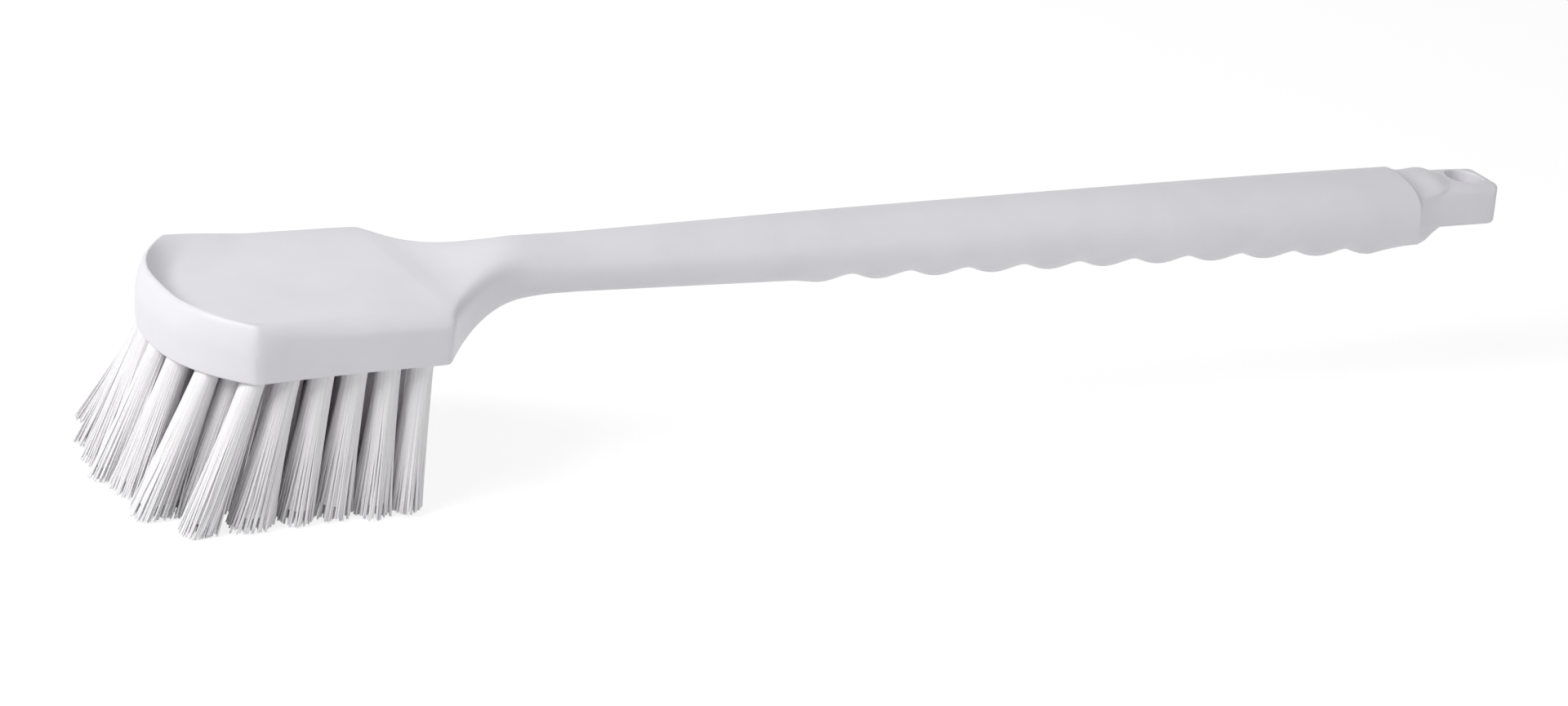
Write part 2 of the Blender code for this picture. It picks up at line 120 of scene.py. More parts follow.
def mirrored(half: Sequence[Point]) -> Ring:
    """Return a whole ring from its half on the +Y side, bottom to top."""
    return list(half) + [(x, -y, z) for x, y, z in reversed(half[1:-1])]


@dataclass(frozen=True)
class Blend:
    """A smooth passage from 0 to 1, which begins at a start and takes a run."""

    start: float
    run: float

    def at(self, place: float) -> float:
        """Return how far the passage has come at a place."""
        return ease((place - self.start) / self.run)


def deselect_all() -> None:
    """Leave edit mode and select nothing."""
    if bpy.context.object and bpy.context.object.mode != "OBJECT":
        bpy.ops.object.mode_set(mode="OBJECT")
    bpy.ops.object.select_all(action="DESELECT")


def select_only(item: bpy.types.Object) -> None:
    """Select one object alone and make it the active one.

    Args:
        item: The object.
    """
    deselect_all()
    item.select_set(True)
    bpy.context.view_layer.objects.active = item


def smooth(item: bpy.types.Object, degrees: float) -> None:
    """Shade a mesh smooth, with a crease where it turns by more than an angle."""
    select_only(item)
    bpy.ops.object.shade_smooth_by_angle(angle=math.radians(degrees))


def cut_away(item: bpy.types.Object, cutter: bpy.types.Object) -> None:
    """Cut a closed shape out of a mesh, and delete the shape.

    Args:
        item: The mesh that is cut.
        cutter: The shape that leaves its hollow there.
    """
    select_only(item)
    cut = item.modifiers.new("cut", "BOOLEAN")
    cut.operation = "DIFFERENCE"
    cut.solver = "EXACT"
    cut.object = cutter
    bpy.ops.object.modifier_apply(modifier=cut.name)
    bpy.data.objects.remove(cutter, do_unlink=True)


def wrapped_skin(name: str, rings: Sequence[Ring], origin: Point) -> bpy.types.Object:
    """Wrap a grid round a row of rings into one closed skin.

    Args:
        name: The name of the piece.
        rings: Rings of the same number of points each. The first and the last are folded flat,
            so that the ends are closed.
        origin: Where the origin of their points lies.

    Returns:
        The new mesh object, with its faces outwards.
    """
    along = len(rings) - 1
    around = len(rings[0])
    deselect_all()
    bpy.ops.mesh.primitive_grid_add(x_subdivisions=along, y_subdivisions=around, size=1.0)
    skin = bpy.context.object
    skin.name = name
    skin.data.name = name
    flat = np.array([vert.co for vert in skin.data.vertices], float)
    ring_of = np.rint((flat[:, 0] + 0.5) * along).astype(int)
    point_of = np.rint((flat[:, 1] + 0.5) * around).astype(int) % around
    places = np.array(rings, float)[ring_of, point_of] + np.array(origin)
    skin.data.vertices.foreach_set("co", places.astype(np.float32).ravel())
    skin.data.update()
    bpy.ops.object.mode_set(mode="EDIT")
    bpy.ops.mesh.select_all(action="SELECT")
    bpy.ops.mesh.remove_doubles(threshold=WELD)
    bpy.ops.mesh.normals_make_consistent(inside=False)
    bpy.ops.object.mode_set(mode="OBJECT")
    return skin


class Signal:
    """The output of a shader node, on which Python's operators add Math nodes."""

    def __init__(self, recipe: "Recipe", socket: bpy.types.NodeSocket) -> None:
        """Wrap a socket of a recipe's node tree."""
        self.recipe = recipe
        self.socket = socket

    def _math(self, operation: str, *values: SocketValue) -> "Signal":
        """Add a Math node for one operation on two values."""
        inputs = dict(enumerate(values))
        return self.recipe.node("ShaderNodeMath", {"operation": operation}, inputs)

    def __add__(self, other: SocketValue) -> "Signal":
        """Add a value to the signal."""
        return self._math("ADD", self, other)

    def __radd__(self, other: SocketValue) -> "Signal":
        """Add the signal to a value."""
        return self._math("ADD", other, self)

    def __sub__(self, other: SocketValue) -> "Signal":
        """Take a value from the signal."""
        return self._math("SUBTRACT", self, other)

    def __rsub__(self, other: SocketValue) -> "Signal":
        """Take the signal from a value."""
        return self._math("SUBTRACT", other, self)

    def __mul__(self, other: SocketValue) -> "Signal":
        """Multiply the signal by a value."""
        return self._math("MULTIPLY", self, other)

    def __rmul__(self, other: SocketValue) -> "Signal":
        """Multiply a value by the signal."""
        return self._math("MULTIPLY", other, self)


class Recipe:
    """The node tree of a material or the world, into which its look is written."""

    def __init__(self, owner: bpy.types.Material | bpy.types.World) -> None:
        """Start with an empty tree.

        Args:
            owner: The material or the world.
        """
        self.owner = owner
        owner.use_nodes = True
        self.tree = owner.node_tree
        self.tree.nodes.clear()

    def node(
        self,
        kind: str,
        settings: Mapping[str, Any] | None = None,
        inputs: Mapping[int | str, SocketValue] | None = None,
        output: int | str = 0,
    ) -> Signal:
        """Add any node.

        Args:
            kind: The node's type.
            settings: Its own settings, set first. The setting stops holds a ramp's places and
                their colours.
            inputs: Values or signals for its input sockets, by name or number.
            output: The output socket to return.

        Returns:
            The signal of that output.
        """
        node = self.tree.nodes.new(kind)
        for name, value in (settings or {}).items():
            if name == "stops":
                for element, (place, colour) in zip(node.color_ramp.elements, value):
                    element.position = place
                    element.color = (*colour, 1.0)
            else:
                setattr(node, name, value)
        for name, value in (inputs or {}).items():
            if isinstance(value, Signal):
                self.tree.links.new(value.socket, node.inputs[name])
            else:
                node.inputs[name].default_value = value
        return Signal(self, node.outputs[output])

    def noise(self, place: Signal, scale: float, detail: float) -> Signal:
        """Add a noise texture."""
        inputs = {"Vector": place, "Scale": scale, "Detail": detail}
        return self.node("ShaderNodeTexNoise", inputs=inputs)

    def bump(self, height: Signal) -> Signal:
        """Add a bump of a height in metres."""
        inputs = {"Height": height, "Distance": 1.0, "Strength": 1.0}
        return self.node("ShaderNodeBump", inputs=inputs)

    def ramp(self, share: Signal, stops: Sequence[tuple[float, Colour]]) -> Signal:
        """Add a ramp between two colours, each with its place."""
        return self.node("ShaderNodeValToRGB", {"stops": stops}, {"Fac": share})

    def finish(self, kind: str, surface: Signal) -> None:
        """Lead a shader to the tree's output node."""
        end = self.tree.nodes.new(kind)
        self.tree.links.new(surface.socket, end.inputs["Surface"])


@dataclass(frozen=True)
class SatinPlastic:
    """White moulded polypropylene: satin, with a faint grain and a slightly uneven tone."""

    pale: Colour = (0.81, 0.8, 0.835)
    deep: Colour = (0.765, 0.755, 0.795)
    pale_from: float = 0.62
    deep_until: float = 0.3
    grain_in_tone: float = 0.15
    roughness: float = 0.4
    roughness_swing: float = 0.12
    index: float = 1.49
    specular: float = 0.3
    cloud_scale: float = 38.0
    grain_scale: float = 2600.0
    wave_scale: float = 90.0
    grain_height: float = 0.012 * MM
    wave_height: float = 0.05 * MM

    def material(self) -> bpy.types.Material:
        """Make the plastic, whose patterns lie on Object coordinates.

        Returns:
            The material.
        """
        recipe = Recipe(bpy.data.materials.new("satin_polypropylene"))
        place = recipe.node("ShaderNodeTexCoord", output="Object")
        cloud = recipe.noise(place, self.cloud_scale, detail=3.0)
        grain = recipe.noise(place, self.grain_scale, detail=2.0)
        wave = recipe.noise(place, self.wave_scale, detail=1.0)
        mixed = cloud * (1 - self.grain_in_tone) + grain * self.grain_in_tone
        tone = recipe.ramp(mixed, [(self.deep_until, self.deep), (self.pale_from, self.pale)])
        height = self.wave_height * wave + self.grain_height * grain
        inputs = {
            "Base Color": tone,
            "Roughness": self.roughness + self.roughness_swing * (cloud - 0.5),
            "Normal": recipe.bump(height),
            "IOR": self.index,
            "Specular IOR Level": self.specular,
        }
        shader = recipe.node("ShaderNodeBsdfPrincipled", inputs=inputs)
        recipe.finish("ShaderNodeOutputMaterial", shader)
        return recipe.owner


@dataclass(frozen=True)
class Filament:
    """Stiff white polyester filament: a soft sheen, each strand of its own slight tone."""

    pale: Colour = (0.91, 0.9, 0.91)
    dull: Colour = (0.8, 0.787, 0.81)
    pale_from: float = 0.8
    dull_until: float = 0.1
    dust_in_tone: float = 0.25
    dust_scale: float = 420.0
    dust_height: float = 0.03 * MM
    roughness: float = 0.5
    roughness_swing: float = 0.1
    index: float = 1.57
    specular: float = 0.4

    def material(self) -> bpy.types.Material:
        """Make the filament, whose tone follows each strand's attribute.

        Returns:
            The material.
        """
        recipe = Recipe(bpy.data.materials.new("polyester_filament"))
        place = recipe.node("ShaderNodeTexCoord", output="Object")
        settings = {"attribute_type": "GEOMETRY", "attribute_name": STRAND}
        strand = recipe.node("ShaderNodeAttribute", settings, output="Fac")
        dust = recipe.noise(place, self.dust_scale, detail=3.0)
        mixed = strand * (1 - self.dust_in_tone) + dust * self.dust_in_tone
        tone = recipe.ramp(mixed, [(self.dull_until, self.dull), (self.pale_from, self.pale)])
        inputs = {
            "Base Color": tone,
            "Roughness": self.roughness + self.roughness_swing * (strand - 0.5),
            "Normal": recipe.bump(self.dust_height * dust),
            "IOR": self.index,
            "Specular IOR Level": self.specular,
        }
        shader = recipe.node("ShaderNodeBsdfPrincipled", inputs=inputs)
        recipe.finish("ShaderNodeOutputMaterial", shader)
        return recipe.owner


@dataclass
class Moulding:
    """The white moulding in one piece: head, neck, scalloped grip and hanging tab."""

    # Whole moulding
    length: float = 504.0 * MM
    underside: float = 46.5 * MM
    nose_at: float = field(default=0.0, init=False)

    # Head in plan, with a bowed nose
    half_width: float = 38.1 * MM
    head_length: float = 82.2 * MM
    nose_bow: float = 18.4 * MM
    nose_power: float = 2.4
    bow_fade: Blend = Blend(12.0 * MM, 66.0 * MM)
    slant_fade: Blend = Blend(6.0 * MM, 34.0 * MM)
    shoulder_round: float = 1.3 * MM

    # Head's thickness, its bowed underside and its leaning front face
    head_thickness: float = 16.0 * MM
    nose_depth: float = 2.6 * MM
    face_lean: float = 0.11
    face_fade: float = 30.0 * MM

    # Rounded edges of the head: how far they reach in and how far they fall
    nose_run: float = 2.9 * MM
    nose_run_corner: float = 2.0 * MM
    nose_fall: float = 8.5 * MM
    side_run: float = 4.6 * MM
    side_run_front: float = 2.6 * MM
    side_run_grow: float = 26.0 * MM
    side_fall: float = 4.8 * MM
    bottom_edge: float = 0.8 * MM
    edge_sharpness: float = 6.0

    # Softened upright edges at the front corners
    corner_fade: float = 6.0 * MM
    corner_inset: float = 0.5 * MM
    corner_run: float = 2.3 * MM
    corner_back: float = 0.55 * MM
    corner_turn: float = 1.3 * MM

    # Dished top and the rim before it
    dish_depth: float = 7.6 * MM
    dish_wall: float = 8.8 * MM
    dish_power: float = 5.0
    rim_rise: float = 0.7 * MM
    rim_fade: float = 30.0 * MM

    # Neck, swept in from the head, and how it becomes round
    sweep_start: float = 82.6 * MM
    sweep: float = 40.7 * MM
    sweep_power: float = 2.12
    top_ramp: Blend = Blend(87.8 * MM, 34.1 * MM)
    underside_rise: Blend = Blend(88.5 * MM, 46.0 * MM)
    rounding: float = 60.0 * MM
    round_edge: float = 0.6
    neck_radius: float = 9.8 * MM
    neck_axis: float = 13.85 * MM
    neck_lift: float = 0.95 * MM

    # Grip, with finger scallops on its underside
    grip_radius: float = 11.6 * MM
    barrel_radius: float = 14.9 * MM
    barrel_axis: float = 12.6 * MM
    axis_power: int = 4
    pitch: float = 22.2 * MM
    scallops: int = 10
    scallop_depth: float = 2.5 * MM

    # Barrel's end
    end_land: float = 12.6 * MM
    end_land_rise: float = 2.4 * MM
    end_shares: tuple[float, ...] = (0.1, 0.2, 0.3, 0.4, 0.5, 0.6, 0.7, 0.8, 0.88, 0.95, 1.0)
    ring_place: float = 464.4 * MM
    ring_low_lean: float = 13.5 * MM
    ring_high_lean: float = 4.5 * MM
    ring_edge: float = 0.9 * MM
    ring_edge_degrees: tuple[float, ...] = (20.0, 40.0, 60.0)

    # Shoulder from the barrel to the tab, in shares of its length
    shoulder_cuts: tuple[float, ...] = (
        0.04, 0.08, 0.13, 0.19, 0.26, 0.34, 0.42, 0.5, 0.58, 0.66, 0.74, 0.82, 0.9, 1.0,
    )
    groove: float = 0.27
    groove_blend: Blend = Blend(0.0, 0.16)
    fill: float = 0.6
    fill_blend: Blend = Blend(0.2, 0.3)
    ledge_blend: Blend = Blend(0.5, 0.45)
    side_step: float = 0.42
    side_step_blend: Blend = Blend(0.0, 0.1)
    shoulder_power: float = 2.2

    # Where the shoulder's sides turn into its top and bottom, in shares of the barrel's radius
    top_blend: Blend = Blend(0.2, 0.7)
    bottom_blend: Blend = Blend(0.35, 0.4)

    # Hanging tab
    tab_half_width: float = 10.0 * MM
    tab_low: float = 8.4 * MM
    tab_high: float = 23.4 * MM
    tab_high_start: float = 487.0 * MM
    tab_side_start: float = 475.5 * MM
    tab_low_start: float = 479.5 * MM
    tab_start_power: float = 3.5
    tab_first_cut: float = 1.0 * MM
    tab_fall: float = 0.03
    tab_top_edge: float = 3.8 * MM
    tab_end_edge: float = 1.6 * MM
    tab_bottom_edge: float = 1.8 * MM
    tab_end_radius: float = 4.4 * MM
    tab_end_lean: float = 0.1
    tab_lean_lead: float = 0.3
    tab_narrowing: float = 0.04

    # Hanging hole, with a rounded rim on both faces of the tab
    hole_radius: float = 6.6 * MM
    hole_to_end: float = 11.2 * MM
    hole_rim: float = 0.8 * MM
    hole_clearance: float = 2.0 * MM
    hole_sides: int = 72
    rim_cells: int = 6

    # How many cells a half section has: flat bottom, bottom corner, side, top corner, flat top
    cells: tuple[int, int, int, int, int] = (10, 7, 4, 7, 10)
    # The angles on a round section, in degrees, at which these cells meet
    round_angles: tuple[float, ...] = (-90.0, -45.0, -12.0, 12.0, 45.0, 90.0)

    # Places and numbers of the sections along the moulding, the dish's in millimetres
    nose_cells: int = 12
    nose_folds: tuple[float, ...] = (1.0, 0.66, 0.33)
    dish_cuts: tuple[float, ...] = (0.12, 0.3, 0.6, 1.1, 1.8, 2.7, 3.9, 5.3, 6.9, 8.5, 10.0)
    head_end: float = 79.0 * MM
    head_cells: int = 18
    rear_end: float = 92.0 * MM
    rear_cells: int = 16
    neck_cells: int = 32
    plain_cells: int = 14
    lift_cells: int = 6
    scallop_cells: int = 12
    tab_cells: int = 6
    tab_end_cells: int = 14
    tab_folds: tuple[float, ...] = (0.6, 1.0)
    crease: float = 45.0

    @property
    def last_crest(self) -> float:
        """Return where the last crest between two scallops lies."""
        return self.ring_place - self.end_land

    @property
    def first_crest(self) -> float:
        """Return where the first crest lies."""
        return self.last_crest - self.scallops * self.pitch

    @property
    def neck_end(self) -> float:
        """Return where the neck has become round."""
        return self.head_length + self.rounding

    def nose_x(self, y: float) -> float:
        """Return where the bowed nose is at a distance from the middle."""
        return self.nose_bow * (abs(y) / self.half_width) ** self.nose_power

    def nose_slant(self, y: float) -> float:
        """Return how much longer a step along X is than the same step square to the nose."""
        slope = self.nose_power * self.nose_x(y) / max(abs(y), MM)
        return math.hypot(1.0, slope)

    def under_z(self, x: float) -> float:
        """Return the height of the head's underside, which bows down towards the nose."""
        return -self.nose_depth * max(1 - x / self.head_length, 0.0) ** 2

    def plan_half_width(self, x: float) -> float:
        """Find half the width of the head and the neck in plan.

        Args:
            x: A place along the moulding.

        Returns:
            The half width there, rounded where the head turns into the sweep.
        """
        share = min((x - self.sweep_start) / self.sweep, 1.0)
        swept = between(self.neck_radius, self.half_width, (1 - share) ** self.sweep_power)
        gap = self.half_width - swept
        return (self.half_width + swept - math.hypot(gap, self.shoulder_round)) / 2

    def radius(self, x: float) -> float:
        """Return the radius of the handle, which grows to the first crest and on to the last."""
        places = [self.neck_end, self.first_crest, self.last_crest]
        return float(np.interp(x, places, [self.neck_radius, self.grip_radius, self.barrel_radius]))

    def axis_z(self, x: float) -> float:
        """Return the height of the handle's axis above the head's underside."""
        share = share_of(x, self.neck_end, self.last_crest)
        return between(self.neck_axis, self.barrel_axis, share ** self.axis_power)

    def lift(self, x: float) -> float:
        """Find how far the handle's underside lies above a full round.

        Args:
            x: A place along the moulding.

        Returns:
            The lift of the plain neck, of the scallops or of the barrel's end.
        """
        if x < self.first_crest:
            fade_start = self.first_crest - self.pitch / 2
            return self.neck_lift * (1 - ease((x - fade_start) / (self.pitch / 2)))
        if x > self.last_crest:
            share = share_of(x, self.last_crest, self.ring_place)
            return self.end_land_rise * share * (2 - share)
        turn = 2 * math.pi * (x - self.first_crest) / self.pitch
        return self.scallop_depth * (1 - math.cos(turn)) / 2

    def edge_drop(self, front: float, side: float) -> float:
        """Find how far a rounded edge has fallen near a corner of the plan.

        Args:
            front: How far the place lies on the way from the crest to the end of the plan.
            side: The same for the side of the plan.

        Returns:
            The drop as a share, from 0 on the flat to 1 at the wall.
        """
        power = self.edge_sharpness
        reach = max(front, 0.0) ** power + max(side, 0.0) ** power
        reach = min(reach ** (1 / power), 1.0)
        return 1 - math.sqrt(1 - reach ** 2)

    def dish_drop(self, x: float, y: float, behind: float) -> float:
        """Find how deep the dished top lies.

        Args:
            x: A place along the moulding.
            y: A distance from the middle.
            behind: How far the place lies behind the crest of the nose's edge.

        Returns:
            The depth below the flat top.
        """
        across = min(abs(y) / (self.half_width - self.side_run), 1.0)
        rising = max(1 - x / self.head_length, 0.0)
        depth = self.dish_depth * (1 - across ** self.dish_power) * rising
        wall = 1 - share_of(behind, 0.0, self.dish_wall)
        return depth * (1 - wall ** 2)

    def box_half(
        self, half_width: float, low_run: float, high_run: float,
    ) -> list[tuple[float, float]]:
        """Place the corners of a half section of the head, from its bottom to its top.

        Args:
            half_width: Half the width of the section.
            low_run: How far its bottom edge reaches in from the wall.
            high_run: How far its top edge reaches in from the wall.

        Returns:
            Each corner's distance from the middle and its share of the way up.
        """
        low_flat, low_turn, wall, high_turn, high_flat = self.cells
        marks = [((half_width - low_run) * i / low_flat, 0.0) for i in range(low_flat)]
        for i in range(low_turn + 1):
            marks.append((half_width - low_run * (1 - edge_turn(i / low_turn)), 0.0))
        marks += [(half_width, i / wall) for i in range(1, wall)]
        for i in range(high_turn + 1):
            marks.append((half_width - high_run * (1 - edge_turn(1 - i / high_turn)), 1.0))
        for i in range(high_flat):
            marks.append(((half_width - high_run) * (1 - (i + 1) / high_flat), 1.0))
        return marks

    def round_half(
        self, half_width: float, low: float, high: float, middle: float,
    ) -> list[tuple[float, float]]:
        """Place the corners of a half section that is an oval, as many as a box has.

        Args:
            half_width: Half the width of the section.
            low: The height of its lowest point.
            high: The height of its highest point.
            middle: The height at which it is widest.

        Returns:
            The corners as pairs of Y and Z, from the lowest to the highest.
        """
        turns = [self.round_angles[0]]
        for count, start, end in zip(self.cells, self.round_angles, self.round_angles[1:]):
            turns += steps(start, end, count)
        points = []
        for degrees in turns:
            angle = math.radians(degrees)
            reach = high - middle if degrees > 0 else middle - low
            points.append((half_width * math.cos(angle), middle + reach * math.sin(angle)))
        return points

    def corner_share(self, behind: float) -> float:
        """Return how much a section softens the front corners, from 1 at the nose down to 0."""
        return max(1 - behind / self.corner_run, 0.0) ** 2

    def head_x(self, behind: float, y: float) -> float:
        """Find where a section of the head lies along X.

        Args:
            behind: Its distance behind the bowed nose.
            y: A distance from the middle.

        Returns:
            The place. It follows the nose's bow less and less further back.
        """
        follow = 1 - self.bow_fade.at(behind)
        slant = 1 + (self.nose_slant(y) - 1) * (1 - self.slant_fade.at(behind))
        near = self.corner_share(behind)
        wall = self.half_width - self.corner_inset * near
        turned = max(1 - (wall - y) / self.corner_turn, 0.0) ** 2
        return self.nose_x(y) * follow + behind * slant + self.corner_back * near * turned

    def head_ring(self, behind: float) -> Ring:
        """Lay a section of the head.

        Args:
            behind: Its distance behind the bowed nose.

        Returns:
            The section, bowed like the nose near it.
        """
        wall_x = self.head_x(behind, self.half_width)
        width = self.plan_half_width(wall_x) - self.corner_inset * self.corner_share(behind)
        side_run = between(self.side_run_front, self.side_run, ease(behind / self.side_run_grow))
        fall = between(self.nose_fall, self.side_fall, ease(behind / self.corner_fade))
        lean = self.face_lean * max(1 - behind / self.face_fade, 0.0)
        lean_top = self.head_thickness - self.nose_fall
        half = []
        for y, level in self.box_half(width, self.bottom_edge, side_run):
            x = self.head_x(behind, y)
            edge = width - y
            run = between(self.nose_run, self.nose_run_corner, (y / self.half_width) ** 2)
            rim = self.rim_rise * (1 - ease((behind - run) / self.rim_fade))
            low = self.edge_drop(1 - behind / self.bottom_edge, 1 - edge / self.bottom_edge)
            low = self.under_z(x) + self.bottom_edge * low
            drop = (fall + rim) * self.edge_drop(1 - behind / run, 1 - edge / side_run)
            high = self.head_thickness + rim - self.dish_drop(x, y, behind - run) - drop
            z = between(low, high, level)
            half.append((x + lean * max(lean_top - z, 0.0), y, z))
        return mirrored(half)

    def neck_ring(self, x: float) -> Ring:
        """Lay a section of the head's rear, the neck or the handle.

        Args:
            x: Its place along the moulding.

        Returns:
            The section, which turns from a box into an oval along the neck.
        """
        rise = self.underside_rise.at(x)
        roundness = ease((x - self.head_length) / self.rounding)
        radius = self.radius(x)
        axis = self.axis_z(x)
        high = between(self.head_thickness, axis + radius, self.top_ramp.at(x))
        low = between(self.under_z(x), axis - radius, rise)
        width = radius if x > self.sweep_start + self.sweep else self.plan_half_width(x)
        round_edge = self.round_edge * radius
        run = between(self.side_run, round_edge, roundness)
        fall = between(self.side_fall, round_edge, roundness)
        low_edge = between(self.bottom_edge, round_edge, roundness)
        squash = 1 - rise * self.lift(x) / radius
        boxy = self.box_half(width, low_edge, run)
        oval = self.round_half(width, low, high, between((high + low) / 2, axis, roundness))
        half = []
        for (y, level), (round_y, round_z) in zip(boxy, oval):
            edge = width - y
            low_z = low + low_edge * self.edge_drop(0.0, 1 - edge / low_edge)
            high_z = high - self.dish_drop(x, y, self.dish_wall)
            high_z -= fall * self.edge_drop(0.0, 1 - edge / run)
            z = between(between(low_z, high_z, level), round_z, roundness)
            if z < axis:
                z = axis + (z - axis) * squash
            half.append((x, between(y, round_y, roundness), z))
        return mirrored(half)

    def barrel_end_rings(self) -> list[Ring]:
        """Lay the barrel's end, its underside drawn towards the tab.

        Returns:
            The sections of its land and of its rounded edge.
        """
        rings = []
        for share in self.end_shares:
            ring = []
            for x, y, z in self.neck_ring(between(self.last_crest, self.ring_place, share)):
                low = (self.axis_z(x) - z) / self.barrel_radius
                lean = self.ring_low_lean * low ** 2 if low > 0 else -self.ring_high_lean * low ** 4
                ring.append((x + lean * share, y, z))
            rings.append(ring)
        last = rings[-1]
        middle = self.axis_z(self.length)
        for degrees in self.ring_edge_degrees:
            angle = math.radians(degrees)
            along = self.ring_edge * math.sin(angle)
            scale = 1 - self.ring_edge * (1 - math.cos(angle)) / self.barrel_radius
            ring = [(x + along, y * scale, middle + (z - middle) * scale) for x, y, z in last]
            rings.append(ring)
        return rings

    def shoulder_fall(self, share: float, level: float) -> float:
        """Find how far the shoulder has drawn in to the tab.

        Args:
            share: A share of the way from the barrel to the tab.
            level: The height above the barrel's axis, in shares of its radius.

        Returns:
            The fall as a share.
        """
        unfilled = 1 - self.fill * self.fill_blend.at(share)
        groove = self.groove * self.groove_blend.at(share) * unfilled
        top = groove + (1 - groove) * self.ledge_blend.at(share)
        step = self.side_step * self.side_step_blend.at(share)
        side = between(step, 1.0, 1 - (1 - share) ** self.shoulder_power)
        bottom = share ** self.shoulder_power
        if level > 0:
            return between(side, top, self.top_blend.at(level))
        return between(side, bottom, self.bottom_blend.at(-level))

    def shoulder_rings(self, edge: Ring) -> list[Ring]:
        """Lay the shoulder.

        Args:
            edge: The last section of the barrel's rounded edge.

        Returns:
            The sections from there to the tab, which starts earlier at its sides than on top.
        """
        root = []
        centre = (self.tab_low + self.tab_high) / 2
        for _, y, z in self.tab_ring(self.tab_high_start):
            level = (z - centre) / (self.tab_high - centre)
            start = self.tab_high_start if level > 0 else self.tab_low_start
            x = between(self.tab_side_start, start, abs(level) ** self.tab_start_power)
            root.append((x, y, z))
        middle = self.axis_z(self.length)
        rings = []
        for share in self.shoulder_cuts:
            ring = []
            for (x0, y0, z0), (x1, y1, z1) in zip(edge, root):
                fall = self.shoulder_fall(share, (z0 - middle) / self.barrel_radius)
                ring.append((between(x0, x1, share), between(y0, y1, fall), between(z0, z1, fall)))
            rings.append(ring)
        return rings

    def tab_top(self, x: float) -> float:
        """Return the height of the tab's top, which falls a little towards its end."""
        return self.tab_high - self.tab_fall * (x - self.tab_high_start)

    def tab_ring(self, x: float) -> Ring:
        """Lay a section of the tab.

        Args:
            x: Its place along the moulding.

        Returns:
            The section, narrower on the tab's rounded end.
        """
        past = max(x - (self.length - self.tab_end_radius), 0.0)
        turned = past / self.tab_end_radius
        inner = self.tab_half_width - self.tab_end_radius
        width = inner + math.sqrt(max(self.tab_end_radius ** 2 - past ** 2, 0.0))
        scale = width / self.tab_half_width
        lean = self.tab_end_lean * ease(turned + self.tab_lean_lead)
        low_edge = self.tab_bottom_edge
        top_edge = between(self.tab_top_edge, self.tab_end_edge, ease(turned))
        half = []
        for y, level in self.box_half(self.tab_half_width, low_edge, self.tab_top_edge):
            y *= scale
            edge = width - y
            if past > 0:
                edge = self.tab_end_radius - math.hypot(past, max(y - inner, 0.0))
            low = self.edge_drop(0.0, 1 - max(edge, 0.0) / low_edge)
            low = self.tab_low + low_edge * low
            high = self.edge_drop(0.0, 1 - max(edge, 0.0) / top_edge)
            high = self.tab_top(x) - top_edge * high
            z = between(low, high, level)
            half.append((x - lean * (z - self.tab_low), y, z))
        return mirrored(half)

    def tab_rings(self, root: Ring) -> list[Ring]:
        """Lay the tab.

        Args:
            root: The section where the shoulder meets it.

        Returns:
            The sections up to its closed end.
        """
        centre = self.length - self.tab_end_radius
        level = self.tab_ring(self.tab_high_start + self.tab_first_cut)
        halfway = [tuple((a + b) / 2 for a, b in zip(p, q)) for p, q in zip(root, level)]
        rings = [halfway, level]
        rings += [self.tab_ring(x) for x in steps(level[0][0], centre, self.tab_cells)]
        for degrees in steps(0.0, 90.0, self.tab_end_cells):
            past = self.tab_end_radius * math.sin(math.radians(degrees))
            rings.append(self.tab_ring(centre + past))
        last = rings[-1]
        return rings + [self.folded(last, share, self.tab_narrowing) for share in self.tab_folds]

    def folded(self, ring: Ring, share: float, inwards: float = 0.0) -> Ring:
        """Draw an end section towards its own middle height, which closes the end.

        Args:
            ring: The end section, whose low and high points stand in pairs.
            share: 0 leaves it as it is, 1 folds it flat.
            inwards: How far, as a share, it also narrows until it is flat.

        Returns:
            The folded section.
        """
        count = len(ring)
        top = count // 2
        corner = self.cells[0] + self.cells[1]
        folded = []
        for i in range(count):
            k = min(i, count - i)
            mate = corner if corner < k < top - corner else k
            ends = (ring[mate], ring[top - mate])
            middle = [(a + b) / 2 for a, b in zip(*ends)]
            x, y, z = (between(here, there, share) for here, there in zip(ring[k], middle))
            side = 1 if i <= top else -1
            folded.append((x, side * y * (1 - inwards * share), z))
        return folded

    def rings(self) -> list[Ring]:
        """Lay the whole moulding.

        Returns:
            All its sections, from the nose to the end of the tab.
        """
        count = self.nose_cells
        behind = [self.nose_run * (1 - edge_turn(1 - i / count)) for i in range(count + 1)]
        behind += [self.nose_run + cut * MM for cut in self.dish_cuts]
        behind += steps(behind[-1], self.head_end, self.head_cells)
        head = [self.head_ring(value) for value in behind]
        rings = [self.folded(head[0], share) for share in self.nose_folds] + head
        stretches = (
            (self.rear_end, self.rear_cells),
            (self.neck_end, self.neck_cells),
            (self.first_crest - self.pitch / 2, self.plain_cells),
            (self.first_crest, self.lift_cells),
            (self.last_crest, self.scallop_cells * self.scallops),
        )
        start = self.head_end
        for end, count in stretches:
            rings += [self.neck_ring(x) for x in steps(start, end, count)]
            start = end
        rings += self.barrel_end_rings()
        rings += self.shoulder_rings(rings[-1])
        return rings + self.tab_rings(rings[-1])

